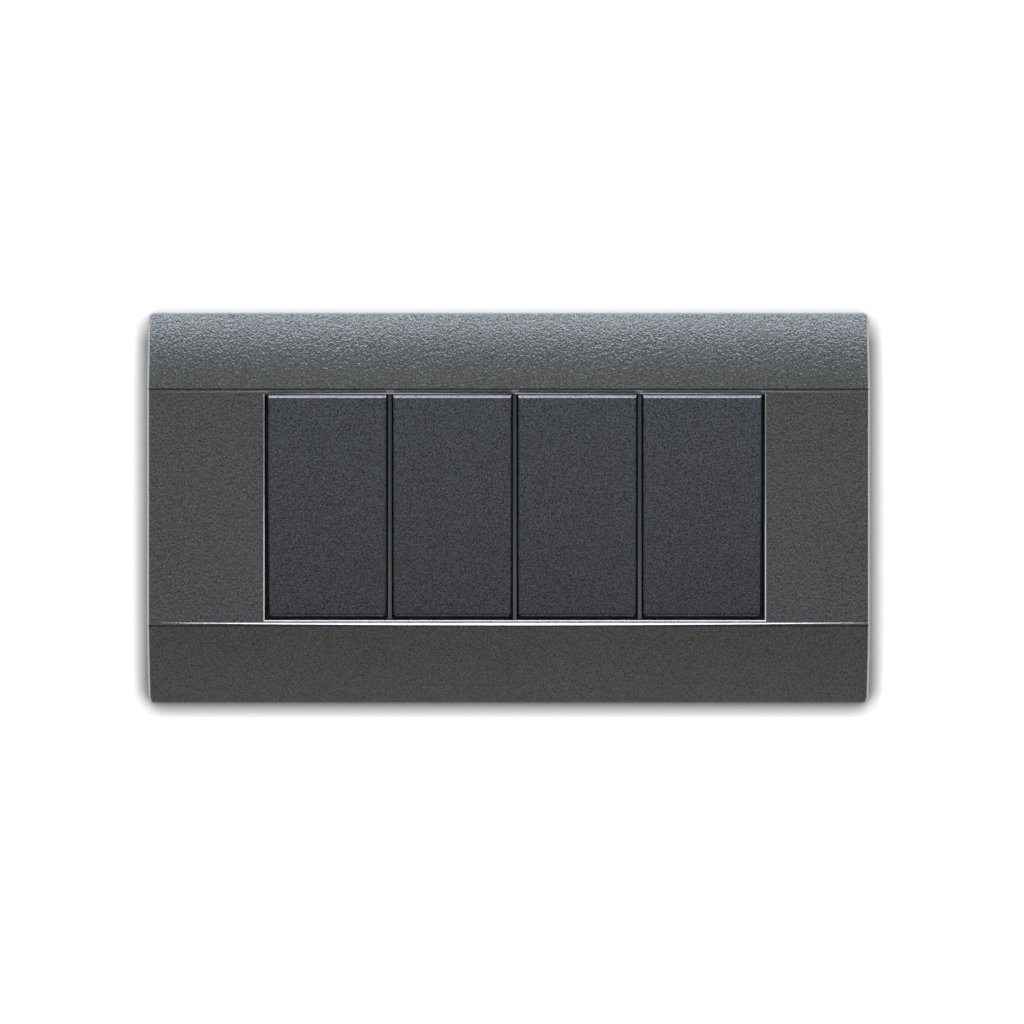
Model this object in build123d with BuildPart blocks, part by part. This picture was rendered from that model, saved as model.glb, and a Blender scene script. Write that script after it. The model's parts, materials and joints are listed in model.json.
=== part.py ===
from build123d import *
from math import asin, degrees
import os

os.makedirs("parts", exist_ok=True)

# A wall plate with four rocker switch modules, in millimetres.
# X runs to the right and Z up. The wall is the plane Y = 0, the plate faces -Y,
# and the modules reach to +Y, into the wall box.
# The origin is midway between the two box screws.

# Module layout
module_count = 4
module_pitch = 25.0
module_x = [(i - (module_count - 1) / 2) * module_pitch for i in range(module_count)]

# Cover plate
plate_width = 144.6
plate_height = 78.3
plate_x = -1.25
plate_front = 9.4
plate_edge_depth = 2.2
plate_wall = 2.0
roll_foot = 23.75
roll_sagitta = 1.05
corner_radius = 1.2
side_chamfer = 0.4
panel_sag = 0.45
panel_run = 70.7
ledge_foot = 22.92
ledge_groove = 0.1
ledge_groove_foot = 22.97
ledge_top = 23.56
seam_z = 23.68
seam_width = 0.24
seam_depth = 0.35
window_half_width = 50.05
window_top = 22.69
window_bottom = -22.55
window_chamfer = 0.22
window_relief = 0.36
lip_groove = 0.24
# Depth and height of the cavity's corners, one wall thickness inside the outer section
cavity_side = [(0, 37.2), (-1.0, 37.2), (-5.3, 30.5), (-7.1, 25.6), (-7.1, 24.6), (-6.6, 24.4)]

# Mounting frame
frame_half_width = 61.0
frame_half_height = 31.0
frame_thickness = 2.6
frame_corner = 3.0
opening_half_width = 49.6
opening_half_height = 21.7
rib_width = 0.7
rib_foot_width = 0.9
rib_gap = 0.15
rib_front = 8.25
collar_front = 6.3
collar_inner = 23.9
collar_outer = 25.1
hook_x = [-38.0, 38.0]
hook_width = 9.0
hook_gap = 0.5
rebate_depth = 1.5

# Box screws
screw_spacing = 108.0
screw_shank_r = 1.75
screw_neck_r = 2.05
screw_neck_end = 0.3
screw_length = 22.0
screw_slot_r = 2.2
screw_slot_travel = 1.2
recess_half_width = 0.45
recess_depth = 1.0

# Rocker key, in its own frame: the pivot is the origin and the face looks to -Y
pivot_y = -4.6
rest_tilt = 2.0
key_half_width = 11.8
key_top = 22.68
key_foot = 21.75
key_face = 4.3
key_crown = 0.3
key_wall = 1.3
cap_floor = 2.5
skirt_front = 1.2
skirt_back = 0.8
key_draft = 0.1
lug_inner = 7.5
lug_outer = 8.7
lug_half_height = 2.4
lug_end = 1.9
lug_bevel = 0.8
pin_r = 1.2
pin_clearance = 0.05
seat_mouth = 1.0
boss_half_width = 3.2
boss_end = 4.5
bore_r = 2.0
bore_bottom = -2.0

# Plunger and spring, in the key's frame
plunger_r = 1.92
plunger_start = 1.5
plunger_shoulder = 8.2
nose_half_width = 1.3
nose_end = 12.0
nose_bevel = 0.75
spring_r = 1.45
spring_wire = 0.35
spring_turns = 3
coil_sides = 10

# Housing and base
body_half_width = 12.0
body_half_height = 21.6
body_front = -3.4
body_wall = 1.8
body_front_wall = 1.6
base_start = 14.0
base_end = 27.0
tongue_start = 11.5
ear_inner = 8.9
ear_outer = 10.4
ear_half_height = 1.9
ear_reach = 1.9
ear_bevel = 0.9
shoulder_reach = 23.6
shoulder_half_width = 9.0
catch_reach = 22.9
catch_start = 0.25
catch_flat_end = 0.9
catch_end = 3.2
catch_half_width = 4.0
front_opening_half_height = 5.0
body_bevel = 0.2
base_bevel = 0.7
base_rim_bevel = 0.5
tongue_wall = 1.3

# Contact blade and terminals
blade_y = 7.9
blade_tilt = 8.0
blade_half_width = 2.4
blade_half_length = 10.3
blade_thickness = 0.7
blade_corner = 0.8
trunnion_half = 0.35
trunnion_gap = 0.2
contact_z = 9.0
contact_half = 1.2
blade_contact_height = 0.4
pad_y = 10.5
fixed_contact_height = 0.35
strip = 0.8
terminal_z = 14.0
terminal_floor = 20.0
terminal_thickness = 1.0
tab_half_width = 4.0
tab_half_height = 3.0
well_floor = 16.5
clamp_screw_start = 17.0
pocket_half_width = 4.3
pocket_half_height = 3.3
clamp_y = 22.9
clamp_thickness = 1.2
clamp_screw_r = 1.42
clamp_head_r = 2.6
clamp_head_height = 2.0
screw_gap = 1.57
clamp_slot_half_width = 0.4
clamp_slot_depth = 0.9
slip = 0.05
# How far joined solids reach into each other, and how far a cut goes past a surface
merge = 0.5
beyond = 1.0
cheek_inner = 3.0
cheek_half = 2.4
cheek_end = 0.7
riser_inner = 11.0
riser_half_width = 2.5
pad_inner = 7.4
latch_start = 12.2
latch_end = 13.4
latch_half_width = 3.0
latch_rise = 1.0
latch_gap = 0.1

# Details of the key and of the cover plate's hooks
key_bevel = 0.6
key_foot_bevel = 0.2
key_foot_radius = 0.8
key_side_bevel = 0.25
foot_line_z = 21.35
foot_line_half = 0.35
foot_line_depth = 0.14
hook_root = -5.2
barb_start = -1.6
barb_front = -1.2
barb_back = -0.9
hook_end = -0.4
hook_inner = 31.2
hook_outer = 32.4
hook_tip = 30.4
screw_head_r = 3.4
screw_head_height = 1.9


def box_between(x, y, z):
    """A box between the two values given for each axis."""
    size = [high - low for low, high in (x, y, z)]
    middle = [(low + high) / 2 for low, high in (x, y, z)]
    with Locations(tuple(middle)):
        Box(*size)


def cut_between(x, y, z):
    """The same box, taken away."""
    size = [high - low for low, high in (x, y, z)]
    middle = [(low + high) / 2 for low, high in (x, y, z)]
    with Locations(tuple(middle)):
        Box(*size, mode=Mode.SUBTRACT)


def rod_along_y(radius, start, end, x=0.0, z=0.0, mode=Mode.ADD):
    """A cylinder along Y between two depths."""
    with Locations(Location((x, (start + end) / 2, z), (90, 0, 0))):
        Cylinder(radius, end - start, mode=mode)


def prism_along_y(radius, sides, start, end, z=0.0):
    """A prism of equal sides along Y between two depths."""
    with BuildSketch(Plane.XZ.offset(-start)) as section:
        with Locations((0, z)):
            RegularPolygon(radius, sides)
    extrude(section.sketch, amount=start - end)


def rod_along_x(radius, start, end, y=0.0, z=0.0, mode=Mode.ADD):
    """A cylinder along X between two places."""
    with Locations(Location(((start + end) / 2, y, z), (0, 90, 0))):
        Cylinder(radius, end - start, mode=mode)


# Cover plate: the outer section is two rolls with a flat between them, drawn in the YZ plane.
panel_radius = (panel_run**2 + panel_sag**2) / (2 * panel_sag)
panel_axis_y = -plate_front + panel_sag - panel_radius
cut_front = -plate_front - beyond
run_angle = degrees(asin(panel_run / panel_radius))
half_height = plate_height / 2

with BuildPart() as cover_plate:
    with BuildSketch(Plane.YZ.offset(plate_x)):
        with BuildLine():
            Polyline(
                (-plate_edge_depth, -half_height),
                (0, -half_height),
                (0, half_height),
                (-plate_edge_depth, half_height),
            )
            SagittaArc((-plate_edge_depth, half_height), (-plate_front, roll_foot), -roll_sagitta)
            Line((-plate_front, roll_foot), (-plate_front, -roll_foot))
            SagittaArc((-plate_front, -roll_foot), (-plate_edge_depth, -half_height), -roll_sagitta)
        make_face()
    extrude(amount=plate_width / 2, both=True)
    fillet(cover_plate.edges().filter_by(Axis.Y), corner_radius)
    front_rim = cover_plate.edges().filter_by(
        lambda e: abs(abs(e.center().X - plate_x) - plate_width / 2) < corner_radius
        and e.center().Y < -plate_edge_depth - slip
    )
    chamfer(front_rim, side_chamfer)

    # The cavity follows the rolls one wall thickness inside.
    with BuildSketch(Plane.YZ.offset(plate_x)):
        with BuildLine():
            Polyline(*cavity_side, *[(y, -z) for y, z in reversed(cavity_side)], close=True)
        make_face()
    extrude(amount=plate_width / 2 - plate_wall, both=True, mode=Mode.SUBTRACT)

    # The panel is part of a wide cylinder about a vertical axis far in front of the plate.
    with BuildSketch(Plane.YZ, mode=Mode.PRIVATE) as panel_cut:
        with Locations(((cut_front - plate_front + panel_sag) / 2, 0)):
            Rectangle(-plate_front + panel_sag - cut_front, 2 * ledge_foot)
    revolve(
        panel_cut.sketch.rotate(Axis((0, panel_axis_y, 0), (0, 0, 1)), -run_angle - beyond),
        axis=Axis((0, panel_axis_y, 0), (0, 0, 1)),
        revolution_arc=2 * (run_angle + beyond),
        mode=Mode.SUBTRACT,
    )

    # The ledge bevel and the fine groove at its foot fade out where the panel meets the flat.
    panel_y = -plate_front + panel_sag
    bevel_slope = (ledge_top - ledge_groove_foot) / (panel_sag + ledge_groove)
    bevel_reach = ledge_groove_foot + bevel_slope * (panel_y + ledge_groove - cut_front)
    for side in (1, -1):
        with BuildSketch(Plane.YZ, mode=Mode.PRIVATE) as ledge_cut:
            with BuildLine():
                Polyline(
                    (panel_y, side * (ledge_foot - slip)),
                    (panel_y, side * ledge_foot),
                    (panel_y + ledge_groove, side * ledge_groove_foot),
                    (cut_front, side * bevel_reach),
                    (cut_front, side * (ledge_foot - slip)),
                    close=True,
                )
            make_face()
        revolve(
            ledge_cut.sketch.rotate(Axis((0, panel_axis_y, 0), (0, 0, 1)), -run_angle),
            axis=Axis((0, panel_axis_y, 0), (0, 0, 1)),
            revolution_arc=2 * run_angle,
            mode=Mode.SUBTRACT,
        )

    # A fine seam parts each ledge from its roll.
    for side in (1, -1):
        with BuildSketch(Plane.YZ.offset(plate_x)):
            Polygon(
                (-plate_front - slip, side * (seam_z - seam_width / 2)),
                (-plate_front + seam_depth, side * seam_z),
                (-plate_front - slip, side * (seam_z + seam_width / 2)),
                align=None,
            )
        extrude(amount=plate_width / 2 + slip, both=True, mode=Mode.SUBTRACT)

    cut_between((-window_half_width, window_half_width), (cut_front, 0), (window_bottom, window_top))
    window_edges = cover_plate.edges().filter_by(
        lambda e: abs(e.center().X) < window_half_width + slip
        and window_bottom - slip < e.center().Z < window_top - slip
        and e.center().Y < -plate_front + panel_sag + slip
    )
    chamfer(window_edges, window_chamfer)

    # Along its top the window has a fine lip that slopes forward from a groove.
    lip_angle = degrees(asin(window_half_width / panel_radius))
    with BuildSketch(Plane.YZ, mode=Mode.PRIVATE) as lip_cut:
        Polygon(
            (panel_y, window_top - slip),
            (panel_y + lip_groove, ledge_groove_foot),
            (panel_y - slip, ledge_groove_foot),
            (panel_y - slip, window_top - slip),
            align=None,
        )
    revolve(
        lip_cut.sketch.rotate(Axis((0, panel_axis_y, 0), (0, 0, 1)), -lip_angle),
        axis=Axis((0, panel_axis_y, 0), (0, 0, 1)),
        revolution_arc=2 * lip_angle,
        mode=Mode.SUBTRACT,
    )

    # Behind its rim the window's top wall leans back, which clears the keys as they swing.
    with BuildSketch(Plane.YZ):
        Polygon(
            (panel_y + window_chamfer, window_top),
            (panel_y + plate_wall + beyond, window_top + window_relief),
            (panel_y + plate_wall + beyond, window_top - slip),
            (panel_y + window_chamfer, window_top - slip),
            align=None,
        )
    extrude(amount=window_half_width, both=True, mode=Mode.SUBTRACT)

    # Four snap hooks reach back to the mounting frame and catch behind its edge.
    for x in hook_x:
        for side in (1, -1):
            with BuildSketch(Plane.YZ.offset(x)):
                with BuildLine():
                    Polyline(
                        (hook_root, side * hook_inner),
                        (barb_start, side * hook_inner),
                        (barb_front, side * hook_tip),
                        (barb_back, side * hook_tip),
                        (hook_end, side * hook_inner),
                        (hook_end, side * hook_outer),
                        (hook_root, side * hook_outer),
                        close=True,
                    )
                make_face()
            extrude(amount=hook_width / 2, both=True)
cover_plate.part.label = "cover_plate"
export_step(cover_plate.part, "parts/cover_plate.step")

# Mounting frame: a flat frame on the wall with one opening, three ribs and a collar round the modules.
with BuildPart() as mounting_frame:
    with BuildSketch(Plane.XZ):
        RectangleRounded(2 * frame_half_width, 2 * frame_half_height, frame_corner)
        Rectangle(2 * opening_half_width, 2 * opening_half_height, mode=Mode.SUBTRACT)
        for side in (1, -1):
            with Locations((side * screw_spacing / 2, 0)):
                SlotCenterToCenter(screw_slot_travel, 2 * screw_slot_r, rotation=90, mode=Mode.SUBTRACT)
    extrude(amount=frame_thickness)
    with BuildSketch(Plane.XZ.offset(frame_thickness)):
        for side in (1, -1):
            with Locations((0, side * (collar_inner + collar_outer) / 2)):
                Rectangle(2 * opening_half_width, collar_outer - collar_inner)
    extrude(amount=collar_front - frame_thickness)
    for i in range(module_count - 1):
        rib_x = (module_x[i] + module_x[i + 1]) / 2
        rib = (rib_x - rib_width / 2, rib_x + rib_width / 2)
        rib_foot = (rib_x - rib_foot_width / 2, rib_x + rib_foot_width / 2)
        box_between(rib_foot, (-frame_thickness, 0), (-collar_outer, collar_outer))
        box_between(rib, (-collar_front, -frame_thickness), (-collar_outer, collar_outer))
        box_between(rib, (-rib_front, -collar_front), (window_bottom + rib_gap, window_top - rib_gap))
    # Rebates in the rear edge take the cover plate's hooks.
    for x in hook_x:
        for side in (1, -1):
            rebate_z = sorted((side * (hook_tip - hook_gap), side * (frame_half_height + beyond)))
            rebate_x = (x - hook_width / 2 - hook_gap, x + hook_width / 2 + hook_gap)
            cut_between(rebate_x, (-rebate_depth, beyond), rebate_z)
mounting_frame.part.label = "mounting_frame"
export_step(mounting_frame.part, "parts/mounting_frame.step")

# Box screws: slotted heads on the frame, shanks into the wall box.
with BuildPart() as box_screws:
    for side in (1, -1):
        x = side * screw_spacing / 2
        rod_along_y(screw_neck_r, -frame_thickness, screw_neck_end, x)
        rod_along_y(screw_shank_r, screw_neck_end, screw_length, x)
        rod_along_y(screw_head_r, -frame_thickness - screw_head_height, -frame_thickness, x)
        head_front = -frame_thickness - screw_head_height
        recess = (-recess_half_width, recess_half_width)
        cut_between((x - screw_head_r, x + screw_head_r), (head_front, head_front + recess_depth), recess)
box_screws.part.label = "box_screws"
export_step(box_screws.part, "parts/box_screws.step")

# Rocker key: a shallow cap with a crowned face, two pivot lugs and the plunger's guide tube.
with BuildPart() as key_shape:
    with BuildSketch(Plane.YZ):
        with BuildLine():
            Polyline(
                (-key_face, key_top - key_bevel),
                (-key_face + key_bevel, key_top),
                (-skirt_front, key_top + key_draft),
                (-skirt_back, key_top + key_draft),
                (-skirt_back, -key_foot),
                (-key_face + key_foot_bevel, -key_foot),
                (-key_face, -key_foot + key_foot_bevel),
            )
            SagittaArc(
                (-key_face, -key_foot + key_foot_bevel),
                (-key_face, key_top - key_bevel),
                key_crown,
            )
        make_face()
    extrude(amount=key_half_width, both=True)
    foot_corners = key_shape.edges().filter_by(Axis.Y).group_by(Axis.Z)[0]
    fillet(foot_corners, key_foot_radius)
    face_sides = key_shape.edges().filter_by(
        lambda e: abs(e.center().X) > key_half_width - slip
        and e.center().Y < -key_face + beyond
        and e.length > key_top
    )
    chamfer(face_sides, key_side_bevel)
    # The hollow behind the face.
    cut_between(
        (-key_half_width + key_wall, key_half_width - key_wall),
        (-cap_floor, 0),
        (-key_foot + key_wall, key_top - key_wall),
    )
    # A fine line across the face just above its foot.
    with BuildSketch(Plane.YZ):
        with BuildLine():
            Polyline(
                (-key_face - merge, -foot_line_z - foot_line_half),
                (-key_face - merge, -foot_line_z + foot_line_half),
                (-key_face, -foot_line_z + foot_line_half),
                (-key_face + foot_line_depth, -foot_line_z),
                (-key_face, -foot_line_z - foot_line_half),
                close=True,
            )
        make_face()
    extrude(amount=key_half_width - 2 * key_side_bevel, both=True, mode=Mode.SUBTRACT)
    # The lugs snap onto the housing's pins: each has a round seat with a narrower mouth at the rear.
    for side in (1, -1):
        with BuildSketch(Plane.YZ.offset(side * (lug_inner + lug_outer) / 2)):
            Polygon(
                (-cap_floor - merge, lug_half_height),
                (lug_end - lug_bevel, lug_half_height),
                (lug_end, lug_half_height - lug_bevel),
                (lug_end, -lug_half_height + lug_bevel),
                (lug_end - lug_bevel, -lug_half_height),
                (-cap_floor - merge, -lug_half_height),
                align=None,
            )
            Circle(pin_r + pin_clearance, mode=Mode.SUBTRACT)
            with Locations((lug_end / 2, 0)):
                Rectangle(lug_end, 2 * seat_mouth, mode=Mode.SUBTRACT)
        extrude(amount=(lug_outer - lug_inner) / 2, both=True)
    boss = (-boss_half_width, boss_half_width)
    box_between(boss, (-cap_floor - merge, boss_end), boss)
    rod_along_y(bore_r, bore_bottom, boss_end + beyond, mode=Mode.SUBTRACT)

# Spring plunger with a chisel nose that rides on the blade.
with BuildPart() as plunger_shape:
    rod_along_y(plunger_r, plunger_start, plunger_shoulder)
    with BuildSketch(Plane.YZ):
        Polygon(
            (plunger_shoulder, nose_half_width),
            (nose_end - nose_bevel, nose_half_width),
            (nose_end, nose_half_width - nose_bevel),
            (nose_end, -nose_half_width + nose_bevel),
            (nose_end - nose_bevel, -nose_half_width),
            (plunger_shoulder, -nose_half_width),
            align=None,
        )
    extrude(amount=nose_half_width, both=True)

# Spring between the bottom of the bore and the plunger, bent from square wire in short straight runs.
spring_length = plunger_start - bore_bottom - spring_wire - 2 * slip
coil_steps = int(spring_turns * coil_sides)
coil_points = [
    Vector(spring_r, 0, spring_length * step / coil_steps).rotate(Axis.Z, 360 * step / coil_sides)
    for step in range(coil_steps + 1)
]
with BuildPart() as spring_shape:
    with BuildLine() as coil:
        Polyline(*coil_points)
    with BuildSketch(Plane(origin=coil_points[0], z_dir=coil_points[1] - coil_points[0])):
        Rectangle(spring_wire, spring_wire)
    sweep(transition=Transition.RIGHT)

# Housing: open at the rear, with the pivot ears, shoulders and snap noses outside.
inner_x = body_half_width - body_wall - slip
inner_z = body_half_height - body_wall - slip
with BuildPart() as housing_shape:
    box_between(
        (-body_half_width, body_half_width),
        (body_front, base_start),
        (-body_half_height, body_half_height),
    )
    chamfer(housing_shape.edges().filter_by(Axis.Y), body_bevel)
    cut_between(
        (-body_half_width + body_wall, body_half_width - body_wall),
        (body_front + body_front_wall, base_start + beyond),
        (-body_half_height + body_wall, body_half_height - body_wall),
    )
    cut_between(
        (-ear_inner, ear_inner),
        (body_front - beyond, body_front + body_front_wall + beyond),
        (-front_opening_half_height, front_opening_half_height),
    )
    for side in (1, -1):
        with BuildSketch(Plane.YZ.offset(side * (ear_inner + ear_outer) / 2)):
            Polygon(
                (body_front + merge, ear_half_height),
                (pivot_y - ear_reach + ear_bevel, ear_half_height),
                (pivot_y - ear_reach, ear_half_height - ear_bevel),
                (pivot_y - ear_reach, -ear_half_height + ear_bevel),
                (pivot_y - ear_reach + ear_bevel, -ear_half_height),
                (body_front + merge, -ear_half_height),
                align=None,
            )
        extrude(amount=(ear_outer - ear_inner) / 2, both=True)
        rod_along_x(pin_r, *sorted((side * lug_inner, side * (ear_inner + merge))), y=pivot_y)
        shoulder_x = (-shoulder_half_width, shoulder_half_width)
        shoulder_z = sorted((side * (body_half_height - merge), side * shoulder_reach))
        box_between(shoulder_x, (body_front, -frame_thickness), shoulder_z)
        # Snap nose behind the frame, a wedge that rises towards the front.
        with BuildSketch(Plane.YZ):
            with BuildLine():
                Polyline(
                    (catch_start, side * (body_half_height - merge)),
                    (catch_start, side * catch_reach),
                    (catch_flat_end, side * catch_reach),
                    (catch_end, side * body_half_height),
                    (catch_end, side * (body_half_height - merge)),
                    close=True,
                )
            make_face()
        extrude(amount=catch_half_width, both=True)
        # Window for the base's latch.
        latch_x = (-latch_half_width - latch_gap, latch_half_width + latch_gap)
        latch_z = sorted((side * (inner_z - merge), side * (body_half_height + beyond)))
        cut_between(latch_x, (latch_start - latch_gap, latch_end + latch_gap), latch_z)

# Base: the rear block with the three terminal pockets.
terminal_places = (terminal_z, 0.0, -terminal_z)
tab_x = (-tab_half_width, tab_half_width)
gap_x = (-screw_gap, screw_gap)
with BuildPart() as base_shape:
    box_between(
        (-body_half_width, body_half_width),
        (base_start, base_end),
        (-body_half_height, body_half_height),
    )
    chamfer(base_shape.edges().filter_by(Axis.Y), base_bevel)
    chamfer(base_shape.faces().sort_by(Axis.Y)[-1].edges(), base_rim_bevel)
    box_between((-inner_x, inner_x), (tongue_start, base_start), (-inner_z, inner_z))
    cut_between(
        (-inner_x + tongue_wall, inner_x - tongue_wall),
        (tongue_start - beyond, base_start),
        (-inner_z + tongue_wall, inner_z - tongue_wall),
    )
    for z in terminal_places:
        cut_between(
            (-pocket_half_width, pocket_half_width),
            (terminal_floor, base_end + beyond),
            (z - pocket_half_height, z + pocket_half_height),
        )
        cut_between(
            gap_x,
            (well_floor, terminal_floor + beyond),
            (z - screw_gap, z + screw_gap),
        )
    for side in (1, -1):
        # Slots for the fixed contacts' strips and for the common terminal's cheeks.
        riser_z = sorted((side * (riser_inner - slip), side * (riser_inner + strip + slip)))
        riser_x = (-riser_half_width - slip, riser_half_width + slip)
        cut_between(riser_x, (base_start - beyond, terminal_floor + beyond), riser_z)
        cheek_x = sorted((side * (cheek_inner - slip), side * (cheek_inner + strip + slip)))
        cheek_z = (-cheek_half - slip, cheek_half + slip)
        cut_between(cheek_x, (base_start - beyond, terminal_floor + beyond), cheek_z)
        # Latch that snaps into the housing's window.
        with BuildSketch(Plane.YZ):
            with BuildLine():
                Polyline(
                    (latch_start, side * (inner_z - merge)),
                    (latch_start, side * inner_z),
                    (latch_end, side * (inner_z + latch_rise)),
                    (latch_end, side * (inner_z - merge)),
                    close=True,
                )
            make_face()
        extrude(amount=latch_half_width, both=True)

# See-saw contact blade, drawn level about its trunnions.
with BuildPart() as blade_shape:
    box_between(
        (-blade_half_width, blade_half_width),
        (-blade_thickness / 2, blade_thickness / 2),
        (-blade_half_length, blade_half_length),
    )
    chamfer(blade_shape.edges().filter_by(Axis.Y), blade_corner)
    trunnion = (-trunnion_half, trunnion_half)
    trunnion_end = cheek_inner + strip + slip
    box_between((-trunnion_end, trunnion_end), trunnion, trunnion)
    for side in (1, -1):
        box_between(
            (-contact_half, contact_half),
            (blade_thickness / 2, blade_thickness / 2 + blade_contact_height),
            (side * contact_z - contact_half, side * contact_z + contact_half),
        )

# Common terminal: two cheeks with open notches for the trunnions, joined at the clamp.
with BuildPart() as common_shape:
    box_between(
        tab_x,
        (terminal_floor, terminal_floor + terminal_thickness),
        (-tab_half_height, tab_half_height),
    )
    for side in (1, -1):
        cheek_x = sorted((side * cheek_inner, side * (cheek_inner + strip)))
        cheek_y = (blade_y - cheek_end, terminal_floor + terminal_thickness)
        box_between(cheek_x, cheek_y, (-cheek_half, cheek_half))
    notch = trunnion_half + trunnion_gap
    cut_between(tab_x, (blade_y - cheek_end - beyond, blade_y + notch), (-notch, notch))
    cut_between(
        gap_x,
        (terminal_floor - merge, terminal_floor + 2 * beyond),
        (-screw_gap, tab_half_height + beyond),
    )

# Fixed contact terminal of the upper side; the lower one is its mirror image.
with BuildPart() as fixed_shape:
    box_between(
        tab_x,
        (terminal_floor, terminal_floor + terminal_thickness),
        (terminal_z - tab_half_height, terminal_z + tab_half_height),
    )
    riser_x = (-riser_half_width, riser_half_width)
    box_between(riser_x, (pad_y, terminal_floor + merge), (riser_inner, riser_inner + strip))
    box_between(riser_x, (pad_y, pad_y + strip), (pad_inner, riser_inner + strip))
    box_between(
        (-contact_half, contact_half),
        (pad_y - fixed_contact_height, pad_y),
        (contact_z - contact_half, contact_z + contact_half),
    )
    cut_between(
        gap_x,
        (terminal_floor - merge, terminal_floor + 2 * beyond),
        (terminal_z - screw_gap, terminal_z + tab_half_height + beyond),
    )
with BuildPart() as mirrored_shape:
    add(mirror(fixed_shape.part, about=Plane.XY))

# Clamp plates and their screws, three of each in a module.
with BuildPart() as clamps_shape:
    for z in terminal_places:
        clamp_z = (z - tab_half_height, z + tab_half_height)
        box_between(tab_x, (clamp_y, clamp_y + clamp_thickness), clamp_z)
        gap_z = (z - screw_gap, z + tab_half_height + beyond)
        cut_between(gap_x, (clamp_y - merge, clamp_y + 2 * beyond), gap_z)
head_start = clamp_y + clamp_thickness
head_end = head_start + clamp_head_height
with BuildPart() as clamp_screws_shape:
    for z in terminal_places:
        prism_along_y(clamp_screw_r, 8, clamp_screw_start, head_start, z)
        prism_along_y(clamp_head_r, 12, head_start, head_end, z)
        slot_z = (z - clamp_slot_half_width, z + clamp_slot_half_width)
        slot_y = (head_end - clamp_slot_depth, head_end + beyond)
        cut_between((-clamp_head_r, clamp_head_r), slot_y, slot_z)

# The four modules. The keys rest with the top out, and the blades on their upper contacts.
key_frame = [Location((x, pivot_y, 0), (rest_tilt, 0, 0)) for x in module_x]
coil_in_key = Location((0, bore_bottom + spring_wire / 2 + slip, 0), (-90, 0, 0))
blade_frame = [Location((x, blade_y, 0), (-blade_tilt, 0, 0)) for x in module_x]
body_frame = [Location((x, 0, 0)) for x in module_x]
module_pieces = {
    "key": (key_shape.part, key_frame),
    "plunger": (plunger_shape.part, key_frame),
    "spring": (spring_shape.part.moved(coil_in_key), key_frame),
    "housing": (housing_shape.part, body_frame),
    "base": (base_shape.part, body_frame),
    "blade": (blade_shape.part, blade_frame),
    "common_terminal": (common_shape.part, body_frame),
    "upper_terminal": (fixed_shape.part, body_frame),
    "lower_terminal": (mirrored_shape.part, body_frame),
    "clamp_plates": (clamps_shape.part, body_frame),
    "clamp_screws": (clamp_screws_shape.part, body_frame),
}
for number in range(module_count):
    for name, (shape, places) in module_pieces.items():
        with BuildPart() as piece:
            add(shape.moved(places[number]))
        piece.part.label = f"{name}_{number + 1}"
        export_step(piece.part, f"parts/{name}_{number + 1}.step")
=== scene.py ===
import json
from math import cos, pi, radians, sin, tau

import bpy
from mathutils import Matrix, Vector


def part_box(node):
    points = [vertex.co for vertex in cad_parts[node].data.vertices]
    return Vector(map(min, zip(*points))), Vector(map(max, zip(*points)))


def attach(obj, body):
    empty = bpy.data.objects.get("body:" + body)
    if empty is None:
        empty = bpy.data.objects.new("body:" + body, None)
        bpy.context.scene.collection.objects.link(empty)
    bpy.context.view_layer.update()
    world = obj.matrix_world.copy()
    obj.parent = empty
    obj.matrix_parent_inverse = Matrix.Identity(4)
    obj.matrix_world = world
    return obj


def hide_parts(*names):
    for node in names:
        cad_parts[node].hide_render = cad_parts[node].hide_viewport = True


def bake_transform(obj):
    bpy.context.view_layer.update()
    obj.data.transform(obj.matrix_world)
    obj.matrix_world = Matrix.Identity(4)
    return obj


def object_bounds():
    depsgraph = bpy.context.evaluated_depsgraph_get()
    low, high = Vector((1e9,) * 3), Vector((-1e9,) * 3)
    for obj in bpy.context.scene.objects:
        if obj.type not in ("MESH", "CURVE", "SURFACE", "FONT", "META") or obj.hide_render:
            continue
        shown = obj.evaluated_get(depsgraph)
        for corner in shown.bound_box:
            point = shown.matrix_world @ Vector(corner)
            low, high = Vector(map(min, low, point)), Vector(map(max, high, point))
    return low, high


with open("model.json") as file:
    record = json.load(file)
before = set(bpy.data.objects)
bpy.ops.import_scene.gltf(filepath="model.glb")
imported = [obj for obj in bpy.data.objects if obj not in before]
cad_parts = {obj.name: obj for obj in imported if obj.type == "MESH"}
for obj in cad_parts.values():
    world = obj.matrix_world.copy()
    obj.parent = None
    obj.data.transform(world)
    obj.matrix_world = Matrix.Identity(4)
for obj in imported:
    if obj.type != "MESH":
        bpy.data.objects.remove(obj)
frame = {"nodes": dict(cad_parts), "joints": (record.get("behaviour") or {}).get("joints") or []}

cad_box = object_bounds()
MM = 0.001
nodes = frame["nodes"]
modules = range(1, 5)


# Small helpers for building node trees.

def material(name):
    """A new material with its node tree and its surface shader."""
    made = bpy.data.materials.new(name)
    made.use_nodes = True
    return made, made.node_tree, made.node_tree.nodes["Principled BSDF"]


def add(tree, kind, inputs=None, **settings):
    """A node with its settings, and with values or other nodes' sockets on its inputs."""
    made = tree.nodes.new("ShaderNode" + kind)
    for key, value in settings.items():
        setattr(made, key, value)
    for key, value in (inputs or {}).items():
        if isinstance(value, bpy.types.NodeSocket):
            tree.links.new(value, made.inputs[key])
        else:
            made.inputs[key].default_value = value
    return made


def millimetres(tree):
    """The place on the piece in millimetres."""
    place = add(tree, "TexCoord").outputs["Object"]
    return scaled(tree, place, 1 / MM)


def scaled(tree, value, scale):
    """A colour or a place times a number."""
    return add(tree, "VectorMath", {0: value, "Scale": scale}, operation="SCALE").outputs[0]


def stretched(tree, place, factors):
    """A place times one factor for each axis."""
    return add(tree, "VectorMath", {0: place, 1: factors}, operation="MULTIPLY").outputs[0]


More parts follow.
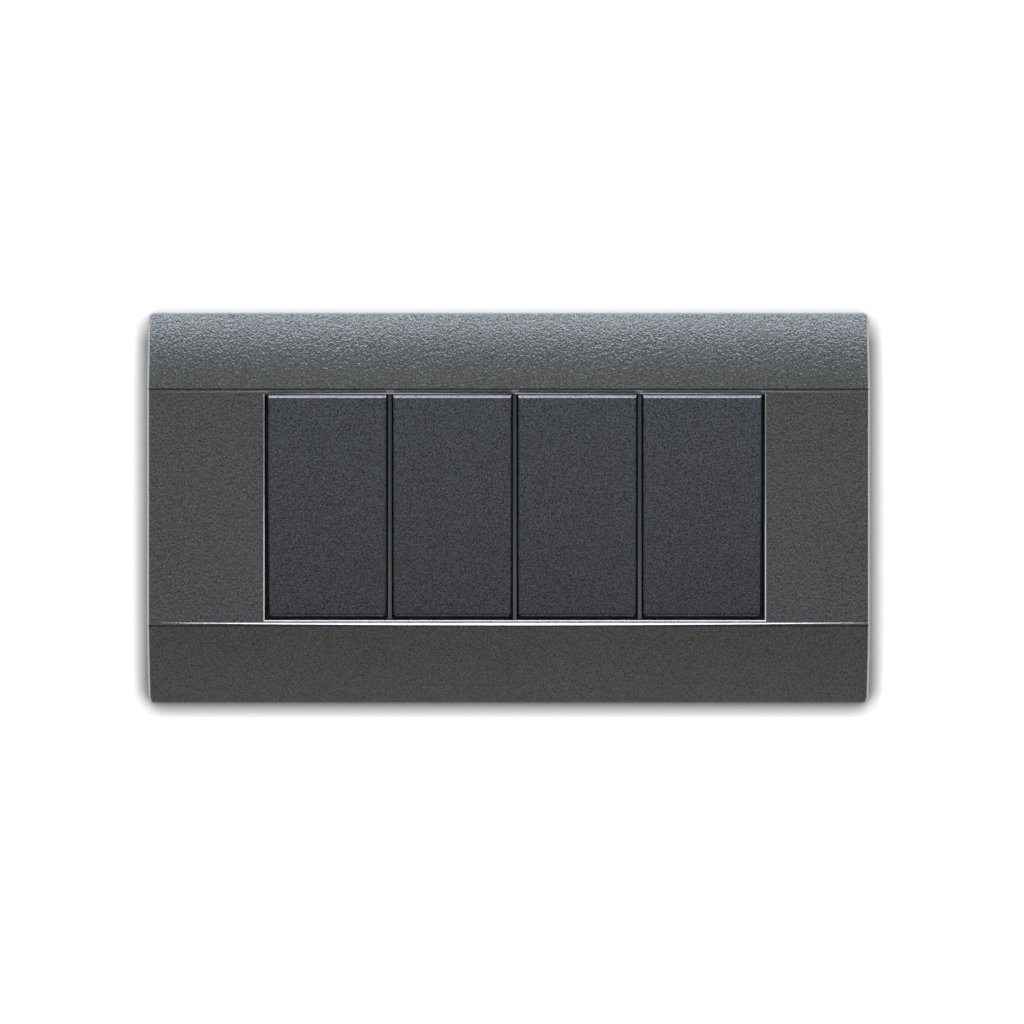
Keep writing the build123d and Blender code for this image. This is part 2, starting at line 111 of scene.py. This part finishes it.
# None of the object's flat faces lies along the noise's lattice when it is turned so.
LATTICE_TURN = (0.7, 0.5, 0.9)
# Nearly all values of the noise lie in this range.
NOISE_RANGE = (0.3, 0.7)


def noise(tree, place, scale, detail=2.0, distortion=0.0):
    turn = {"Vector": place, "Rotation": LATTICE_TURN}
    turned = add(tree, "VectorRotate", turn, rotation_type="EULER_XYZ").outputs[0]
    values = {"Vector": turned, "Scale": scale, "Detail": detail, "Distortion": distortion}
    return add(tree, "TexNoise", values).outputs["Fac"]


def maths(tree, operation, first, second):
    return add(tree, "Math", {0: first, 1: second}, operation=operation).outputs[0]


def span(tree, value, low, high, to_low, to_high):
    """The value moved from one range to another, and held at its ends."""
    ends = {"From Min": low, "From Max": high, "To Min": to_low, "To Max": to_high}
    return add(tree, "MapRange", {"Value": value, **ends}).outputs[0]


def blend(tree, share, first, second):
    """A colour between two others."""
    mixed = add(tree, "Mix", {"Factor": share}, data_type="RGBA")
    mixed.inputs[6].default_value = (*first, 1)
    mixed.inputs[7].default_value = (*second, 1)
    return mixed.outputs[2]


def height_of(tree, place):
    return add(tree, "SeparateXYZ", {0: place}).outputs["Z"]


# How far a finish's roughness goes up and down from its middle value.
METAL_SWING, PLASTIC_SWING = 0.07, 0.06


def surface(tree, shader, colour, texture, roughness, metallic, height, depth):
    """Connect a finish. Its roughness follows the texture, and its relief is depth mm high."""
    tree.links.new(colour, shader.inputs["Base Color"])
    varied = span(tree, texture, *NOISE_RANGE, *roughness)
    tree.links.new(varied, shader.inputs["Roughness"])
    shader.inputs["Metallic"].default_value = metallic
    relief = {"Height": height, "Distance": depth * MM, "Strength": 1.0}
    tree.links.new(add(tree, "Bump", relief).outputs[0], shader.inputs["Normal"])


def around(middle, swing):
    return middle - swing, middle + swing


# Finishes.

def plate_finish():
    """Metallic anthracite paint over a fine leather grain."""
    made, tree, shader = material("plate_finish")
    place = millimetres(tree)
    grain = noise(tree, place, scale=1.7, detail=1.5, distortion=0.5)
    flakes = noise(tree, place, scale=3.2, detail=1)
    flake_share = 0.3
    height = maths(tree, "ADD", grain, maths(tree, "MULTIPLY", flakes, flake_share))
    cloud = noise(tree, place, scale=0.05, detail=3)
    paint = blend(tree, cloud, (0.080, 0.084, 0.084), (0.091, 0.095, 0.095))
    dimmest, brightest = 0.58, 1.44
    speckled = scaled(tree, paint, span(tree, flakes, *NOISE_RANGE, dimmest, brightest))
    surface(tree, shader, speckled, flakes, (0.30, 0.40), 0.85, height, depth=0.18)
    return made


def edge_highlight_metal(name, dark, light, roughness, metallic=1.0):
    """Lighter metal on the plate's edges that paints their highlights, brushed lengthwise."""
    made, tree, shader = material(name)
    lengthwise = stretched(tree, millimetres(tree), (0.05, 1, 1))
    brushed = noise(tree, lengthwise, scale=12.0)
    varied = around(roughness, METAL_SWING)
    colour = blend(tree, brushed, dark, light)
    surface(tree, shader, colour, brushed, varied, metallic, brushed, depth=0.004)
    return made


def key_finish(name, dark, light, roughness):
    """Dark anthracite with a fine bluish metallic speckle."""
    made, tree, shader = material(name)
    place = millimetres(tree)
    speckle = noise(tree, place, scale=3.4, detail=1)
    grain = noise(tree, place, scale=1.9, distortion=0.4)
    # A tighter range than the noise's gives the speckle its contrast.
    flakes = span(tree, speckle, 0.32, 0.68, 0, 1)
    # Painted light and shade: the colour is a little lighter at the top than at the foot.
    key_top, foot_level, top_level = 21, 0.85, 1.07
    painted_light_ramp = span(tree, height_of(tree, place), -key_top, key_top, foot_level, top_level)
    colour = scaled(tree, blend(tree, flakes, dark, light), painted_light_ramp)
    varied = around(roughness, PLASTIC_SWING)
    height = maths(tree, "ADD", speckle, grain)
    surface(tree, shader, colour, speckle, varied, 0.6, height, depth=0.12)
    return made


def moulded_plastic(name, dark, light, roughness, depth):
    """Moulded plastic with a spark-eroded texture and a faint cloud."""
    made, tree, shader = material(name)
    place = millimetres(tree)
    cloud = noise(tree, place, scale=0.12, detail=3)
    texture = noise(tree, place, scale=6.0)
    varied = around(roughness, PLASTIC_SWING)
    colour = blend(tree, cloud, dark, light)
    surface(tree, shader, colour, texture, varied, 0.0, texture, depth)
    return made


def rolled_metal(name, dark, light, roughness, direction):
    """Sheet or wire with drawn lines along one direction and a little tarnish."""
    made, tree, shader = material(name)
    place = millimetres(tree)
    lines = noise(tree, stretched(tree, place, direction), scale=6.0, detail=3)
    tarnish = noise(tree, place, scale=0.35, detail=4)
    varied = around(roughness, METAL_SWING)
    colour = blend(tree, tarnish, dark, light)
    surface(tree, shader, colour, lines, varied, 1.0, lines, depth=0.01)
    return made


def dress(names, finish):
    for name in names:
        nodes[name].data.materials.clear()
        nodes[name].data.materials.append(finish)


def soften(name, crease=16):
    """Smooth shading that breaks where two faces meet at more than so many degrees."""
    mesh = nodes[name].data
    mesh.polygons.foreach_set("use_smooth", [True] * len(mesh.polygons))
    nodes[name].modifiers.new("weld", "WELD").merge_threshold = 0.001 * MM
    split = nodes[name].modifiers.new("split", "EDGE_SPLIT")
    split.split_angle = radians(crease)
    split.use_edge_sharp = False


def each(name):
    return [f"{name}_{number}" for number in modules]


plate = plate_finish()
key_face = key_finish("key_finish", (0.019, 0.022, 0.026), (0.094, 0.102, 0.116), 0.35)
# A lighter copy of the key finish paints the highlight on the keys' top bevels.
key_bevel_highlight = key_finish("key_bevel_highlight", (0.13, 0.136, 0.142), (0.22, 0.227, 0.235), 0.4)
# Painted highlights on the plate's edges: lighter metal than its paint, lighter still on the upper
# ledge and the window's rim.
outer_rim_highlight = edge_highlight_metal("outer_rim_highlight", (0.45, 0.45, 0.46), (0.58, 0.58, 0.6), 0.27)
lower_edge_highlight = edge_highlight_metal("lower_edge_highlight", (0.18, 0.18, 0.185), (0.24, 0.24, 0.25), 0.29)
upper_ledge_highlight = edge_highlight_metal(
    "upper_ledge_highlight", (0.28, 0.28, 0.285), (0.36, 0.36, 0.37), 0.29)
window_rim_highlight = edge_highlight_metal("window_rim_highlight", (0.84, 0.84, 0.85), (0.93, 0.93, 0.94), 0.34, metallic=0.7)
body_plastic = moulded_plastic(
    "body_plastic", (0.035, 0.036, 0.038), (0.046, 0.047, 0.05), 0.5, depth=0.02)
frame_plastic = moulded_plastic(
    "frame_plastic", (0.06, 0.062, 0.066), (0.075, 0.077, 0.082), 0.5, depth=0.02)
inner_plastic = moulded_plastic(
    "inner_plastic", (0.7, 0.69, 0.64), (0.8, 0.79, 0.75), 0.4, depth=0.01)
brass = rolled_metal("brass", (0.6, 0.42, 0.2), (0.82, 0.62, 0.34), 0.3, (1, 1, 0.08))
zinc = rolled_metal("zinc", (0.5, 0.5, 0.5), (0.68, 0.69, 0.72), 0.34, (1, 0.1, 1))
spring_steel = rolled_metal(
    "spring_steel", (0.42, 0.42, 0.42), (0.55, 0.55, 0.56), 0.3, (1, 0.2, 1))

dress(["cover_plate"], plate)
dress(["mounting_frame"], frame_plastic)
dress(["box_screws"], zinc)
dress(each("key"), key_face)
dress(each("plunger"), inner_plastic)
dress(each("spring"), spring_steel)
dress(each("housing") + each("base"), body_plastic)
for terminal in ("blade", "common_terminal", "upper_terminal", "lower_terminal"):
    dress(each(terminal), brass)
dress(each("clamp_plates") + each("clamp_screws"), zinc)

for name in nodes:
    soften(name)


def skin(name, rings, finish, crease=50):
    """A closed mesh through rings of points, with smooth shading that breaks at its sharp edges."""
    sides = len(rings[0])
    points = [point for points in rings for point in points]
    last = len(points) - 1
    faces = [tuple(range(sides)), tuple(range(last, last - sides, -1))]
    for first in range(0, len(points) - sides, sides):
        for side in range(sides):
            after = (side + 1) % sides
            ring_edge = (first + sides + side, first + sides + after)
            faces.append((first + side, *ring_edge, first + after))
    mesh = bpy.data.meshes.new(name)
    mesh.from_pydata(points, [], faces)
    mesh.polygons.foreach_set("use_smooth", [True] * len(mesh.polygons))
    mesh.materials.append(finish)
    made = bpy.data.objects.new(name, mesh)
    bpy.context.scene.collection.objects.link(made)
    made.modifiers.new("split", "EDGE_SPLIT").split_angle = radians(crease)
    return made


# The compression springs: round wire with closed ends.

COIL_RADIUS, WIRE_RADIUS = 1.45 * MM, 0.17 * MM
COIL_START, COIL_END = 0.22 * MM, 3.28 * MM
COIL_TURNS, CLOSED_TURNS, CLOSED_PITCH = 5, 0.9, 0.36 * MM


def coil_advance(turns):
    """How far along its axis the wire has come after so many turns."""
    closed = CLOSED_TURNS * CLOSED_PITCH
    if turns < CLOSED_TURNS:
        return COIL_START + turns * CLOSED_PITCH
    if turns > COIL_TURNS - CLOSED_TURNS:
        return COIL_END - (COIL_TURNS - turns) * CLOSED_PITCH
    share = (turns - CLOSED_TURNS) / (COIL_TURNS - 2 * CLOSED_TURNS)
    return COIL_START + closed + share * (COIL_END - COIL_START - 2 * closed)


def coil_spring(number, steps=32, sides=10):
    wanted = f"plunger_slide_{number}"
    slide = next(joint for joint in frame["joints"] if joint["name"] == wanted)
    start = Vector(slide["deforming_nodes"][0]["fixed_end_m"])
    along = -Vector(slide["axis"]).normalized()
    across = Vector((1, 0, 0))
    upward = along.cross(across)
    turns = [tau * side / sides for side in range(sides)]
    rings = []
    for step in range(COIL_TURNS * steps + 1):
        angle = tau * step / steps
        outward = cos(angle) * across + sin(angle) * upward
        middle = start + along * coil_advance(step / steps) + outward * COIL_RADIUS
        rings.append([
            middle + WIRE_RADIUS * (cos(turn) * outward + sin(turn) * along) for turn in turns])
    made = skin(f"spring_coil_{number}", rings, spring_steel)
    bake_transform(made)
    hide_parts(f"spring_{number}")


for number in modules:
    coil_spring(number)


# The threads of the two box screws: a right-hand ridge that fades out at both ends.

THREAD_START, THREAD_END, THREAD_PITCH = 1.0 * MM, 21.4 * MM, 0.8 * MM
THREAD_FOOT, THREAD_CREST, THREAD_HALF = 1.7 * MM, 1.93 * MM, 0.3 * MM
SCREW_INSET = 3.4 * MM  # from the end of the node's box to the screw's axis


def screw_thread(name, x, steps=24):
    turns = (THREAD_END - THREAD_START) / THREAD_PITCH
    rings = []
    for step in range(int(turns * steps) + 1):
        turn = step / steps
        outward = Vector((sin(tau * turn), 0, cos(tau * turn)))
        middle = Vector((x, THREAD_START + turn * THREAD_PITCH, 0))
        fade = min(1, turn, turns - turn)
        crest = THREAD_FOOT + fade * (THREAD_CREST - THREAD_FOOT)
        foot = middle + outward * THREAD_FOOT
        half = Vector((0, THREAD_HALF, 0))
        rings.append([foot - half, middle + outward * crest, foot + half])
    made = skin(name, rings, zinc)
    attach(made, "plate")


low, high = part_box("box_screws")
screw_thread("screw_thread_left", low[0] + SCREW_INSET)
screw_thread("screw_thread_right", high[0] - SCREW_INSET)


# The edges of the plate get lighter metal finishes that paint the highlights along them: the rims
# of its ends
#  and top, the ledges along the panel and the window's rim. Each is found by where its faces lie
#  and how they lean.

RIM_WIDTH = 0.6 * MM
LEDGE_FOOT, LEDGE_TOP = 22.85 * MM, 23.6 * MM
WINDOW_EDGE_X, WINDOW_EDGE_Z, WINDOW_FOOT = 50.3 * MM, 22.85 * MM, -22.3 * MM
# Limits for the parts of a unit normal along its axes.
END_LEAN, TOP_LEAN, LEDGE_LEAN, FRONT_LEAN = 0.3, 0.75, 0.4, 0.2
WINDOW_LEAN, PANEL_LEAN = 0.3, 0.9
END_SLOT, LOWER_SLOT, WINDOW_SLOT, UPPER_SLOT = 1, 2, 3, 4

low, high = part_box("cover_plate")


def edge_slot(centre, normal):
    """The material slot for one face of the plate, or 0 where it is painted."""
    front = -normal.y
    to_end = min(centre.x - low[0], high[0] - centre.x)
    to_top = high[2] - centre.z
    if abs(normal.x) > END_LEAN and front > END_LEAN and to_end < RIM_WIDTH:
        return END_SLOT
    if normal.z > TOP_LEAN and front > FRONT_LEAN and to_top < RIM_WIDTH:
        return END_SLOT
    leans = front > FRONT_LEAN and abs(normal.z) > LEDGE_LEAN
    if leans and LEDGE_FOOT < abs(centre.z) < LEDGE_TOP:
        return UPPER_SLOT if centre.z > 0 else LOWER_SLOT
    by_window = abs(centre.x) < WINDOW_EDGE_X and abs(centre.z) < WINDOW_EDGE_Z
    if by_window and WINDOW_LEAN < front < PANEL_LEAN:
        return LOWER_SLOT if centre.z < WINDOW_FOOT else WINDOW_SLOT
    return 0


for metal in (outer_rim_highlight, lower_edge_highlight, window_rim_highlight, upper_ledge_highlight):
    nodes["cover_plate"].data.materials.append(metal)
for face in nodes["cover_plate"].data.polygons:
    face.material_index = edge_slot(face.center, face.normal)


# Painted highlight: the bevel along the top of each key gets a lighter finish.
BEVEL_WIDTH, BEVEL_LEAN = 1.5 * MM, 0.4
for name in each("key"):
    nodes[name].data.materials.append(key_bevel_highlight)
    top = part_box(name)[1][2]
    for face in nodes[name].data.polygons:
        leans = min(-face.normal.y, face.normal.z) > BEVEL_LEAN
        if leans and top - face.center.z < BEVEL_WIDTH:
            face.material_index = 1


# Stage: a wall with an opening for the wall box, and a floor.

def stage_material(name, colour, glow):
    """Pale and matt. Seen straight or in a reflection it has some light of its own."""
    made, tree, shader = material(name)
    shader.inputs["Base Color"].default_value = (*colour, 1)
    shader.inputs["Roughness"].default_value = 0.9
    ray = add(tree, "LightPath").outputs
    mirrored_share = 0.3
    mirrored = maths(tree, "MULTIPLY", ray["Is Glossy Ray"], mirrored_share)
    indirect = maths(tree, "MAXIMUM", mirrored, ray["Is Transmission Ray"])
    seen = maths(tree, "MAXIMUM", ray["Is Camera Ray"], indirect)
    tree.links.new(maths(tree, "MULTIPLY", seen, glow), shader.inputs["Emission Strength"])
    shader.inputs["Emission Color"].default_value = (1, 1, 1, 1)
    return made, tree, shader


def hide_from_behind(tree, shader, lets_light_in=False):
    hidden = add(tree, "NewGeometry").outputs["Backfacing"]
    if lets_light_in:
        camera_ray = add(tree, "LightPath").outputs["Is Camera Ray"]
        hidden = maths(tree, "MAXIMUM", hidden, maths(tree, "SUBTRACT", 1, camera_ray))
    see_through = add(tree, "BsdfTransparent").outputs[0]
    mixed = add(tree, "MixShader", {0: hidden, 1: shader.outputs[0], 2: see_through})
    tree.links.new(mixed.outputs[0], tree.nodes["Material Output"].inputs["Surface"])


def panel(name, corners, hole=()):
    """A flat piece of the stage, with an opening if a second ring of corners is given."""
    count = len(corners)
    faces = [tuple(range(count))]
    if hole:
        faces = [(i, (i + 1) % count, count + (i + 1) % count, count + i) for i in range(count)]
    mesh = bpy.data.meshes.new(name)
    mesh.from_pydata([*corners, *hole], [], faces)
    made = bpy.data.objects.new(name, mesh)
    bpy.context.scene.collection.objects.link(made)
    return made


CORNERS = ((-1, -1), (1, -1), (1, 1), (-1, 1))


def ring(half_width, half_height, y, middle=0.0):
    """Four corners parallel to the wall."""
    return [(middle + x * half_width, y, z * half_height) for x, z in CORNERS]


# The opening ends behind the plate's rim.
STAGE_HALF = 0.6
WALL_Y = 0.1 * MM
RIM_COVER = 0.45 * MM
low, high = cad_box
opening = (high[0] - low[0]) / 2 - RIM_COVER, (high[2] - low[2]) / 2 - RIM_COVER
opening_middle = (low[0] + high[0]) / 2
wall = panel(
    "wall", ring(STAGE_HALF, STAGE_HALF, WALL_Y), ring(*opening, WALL_Y, opening_middle))

# The corner between plate and wall is darker, in the paint and in its own light. Above the plate
# the light from overhead reaches the corner, and below it the shadow reaches further.
WALL_WHITE, WALL_GLOW = 0.8, 0.54
SHADE_REACH, SHADE_POWER = 3.7 * MM, 2.6
# Heights on the wall in millimetres, and the shade's strength there.
LIT_FROM, LIT_FULLY, LIT_SHADE = 33, 39, 0.34
DEEP_END, DEEP_START, DEEP_SHADE = -42.5, -39.2, 1.42

wall_paint, tree, shader = stage_material("wall_paint", (WALL_WHITE,) * 3, WALL_GLOW)
open_share = add(tree, "AmbientOcclusion", {"Distance": SHADE_REACH}, samples=8).outputs["AO"]
shade = maths(tree, "SUBTRACT", 1, maths(tree, "POWER", open_share, SHADE_POWER))
height = height_of(tree, millimetres(tree))
shade = maths(tree, "MULTIPLY", shade, span(tree, height, LIT_FROM, LIT_FULLY, 1, LIT_SHADE))
shade = maths(tree, "MULTIPLY", shade, span(tree, height, DEEP_END, DEEP_START, DEEP_SHADE, 1))
light_share = maths(tree, "SUBTRACT", 1, shade)
tree.links.new(maths(tree, "MULTIPLY", light_share, WALL_WHITE), shader.inputs["Base Color"])
strength = shader.inputs["Emission Strength"]
glow = strength.links[0].from_socket
tree.links.new(maths(tree, "MULTIPLY", light_share, glow), strength)
hide_from_behind(tree, shader)
wall.data.materials.append(wall_paint)

# A dark sheet at the depth of the wall box paints the shade inside it, where it shows between the
# modules. Only the camera sees it.
BOX_HALF_WIDTH, BOX_HALF_HEIGHT, BOX_Y = 50.5 * MM, 23.5 * MM, 0.3 * MM
box_back = panel("box_back", ring(BOX_HALF_WIDTH, BOX_HALF_HEIGHT, BOX_Y))
box_painted_shade, tree, shader = material("box_painted_shade")
shader.inputs["Base Color"].default_value = (0.03, 0.03, 0.03, 1)
shader.inputs["Roughness"].default_value = 0.9
hide_from_behind(tree, shader, lets_light_in=True)
box_back.data.materials.append(box_painted_shade)

FLOOR_Z = -0.45
floor = panel("floor", [(x * STAGE_HALF, y * STAGE_HALF, FLOOR_Z) for x, y in CORNERS])
floor.data.materials.append(stage_material("floor_paint", (0.64, 0.56, 0.5), glow=0.08)[0])


# Light: a broad softbox overhead, and an even surround that is brighter above and dim below.

SOFTBOX_PLACE, SOFTBOX_AIM = Vector((0, -0.13, 0.9)), Vector((0, -0.01, 0))
SOFTBOX_SIZE, SOFTBOX_POWER, SOFTBOX_COLOUR = (1.0, 0.26), 8.2, (0.86, 0.89, 1.0)

light = bpy.data.lights.new("overhead", "AREA")
light.shape = "RECTANGLE"
light.size, light.size_y = SOFTBOX_SIZE
light.energy = SOFTBOX_POWER
light.color = SOFTBOX_COLOUR
softbox = bpy.data.objects.new("overhead", light)
softbox.location = SOFTBOX_PLACE
softbox.rotation_euler = (SOFTBOX_AIM - SOFTBOX_PLACE).to_track_quat("-Z", "Y").to_euler()
bpy.context.scene.collection.objects.link(softbox)

# Heights of a direction, from -1 straight down to 1 straight up, and the surround's light there.
NADIR, NEAR_NADIR, BELOW, HORIZON, ABOVE = -1, -0.5, -0.28, 0, 0.35
NADIR_EXTRA, LEVEL_BELOW, LEVEL_HORIZON, LEVEL_ABOVE = 0.09, 0.46, 0.95, 1.25
WARM_HEIGHT, COOL_HEIGHT = -0.75, -0.05
WARM, COOL = (1.0, 0.92, 0.87), (0.965, 0.98, 1.0)

world = bpy.data.worlds.new("surround")
world.use_nodes = True
bpy.context.scene.world = world
tree = world.node_tree
up = height_of(tree, add(tree, "TexCoord").outputs["Generated"])
upper = span(tree, up, HORIZON, ABOVE, LEVEL_HORIZON, LEVEL_ABOVE)
lower = span(tree, up, BELOW, HORIZON, LEVEL_BELOW, LEVEL_HORIZON)
nadir = span(tree, up, NADIR, NEAR_NADIR, NADIR_EXTRA, 0)
level = maths(tree, "ADD", maths(tree, "MINIMUM", upper, lower), nadir)
tree.links.new(level, tree.nodes["Background"].inputs["Strength"])
tint = blend(tree, span(tree, up, WARM_HEIGHT, COOL_HEIGHT, 0, 1), WARM, COOL)
tree.links.new(tint, tree.nodes["Background"].inputs["Color"])


# Camera straight in front, as in the photograph.
CAMERA_PLACE, CAMERA_LENS, SENSOR_WIDTH = (-0.00055, -1.5094, -0.0009), 263.7, 36.0
camera = bpy.data.objects.new("camera", bpy.data.cameras.new("camera"))
camera.data.lens = CAMERA_LENS
camera.data.sensor_width = SENSOR_WIDTH
camera.location = CAMERA_PLACE
camera.rotation_euler = (pi / 2, 0, 0)
bpy.context.scene.collection.objects.link(camera)
bpy.context.scene.camera = camera
bpy.context.scene.view_settings.view_transform = "Standard"
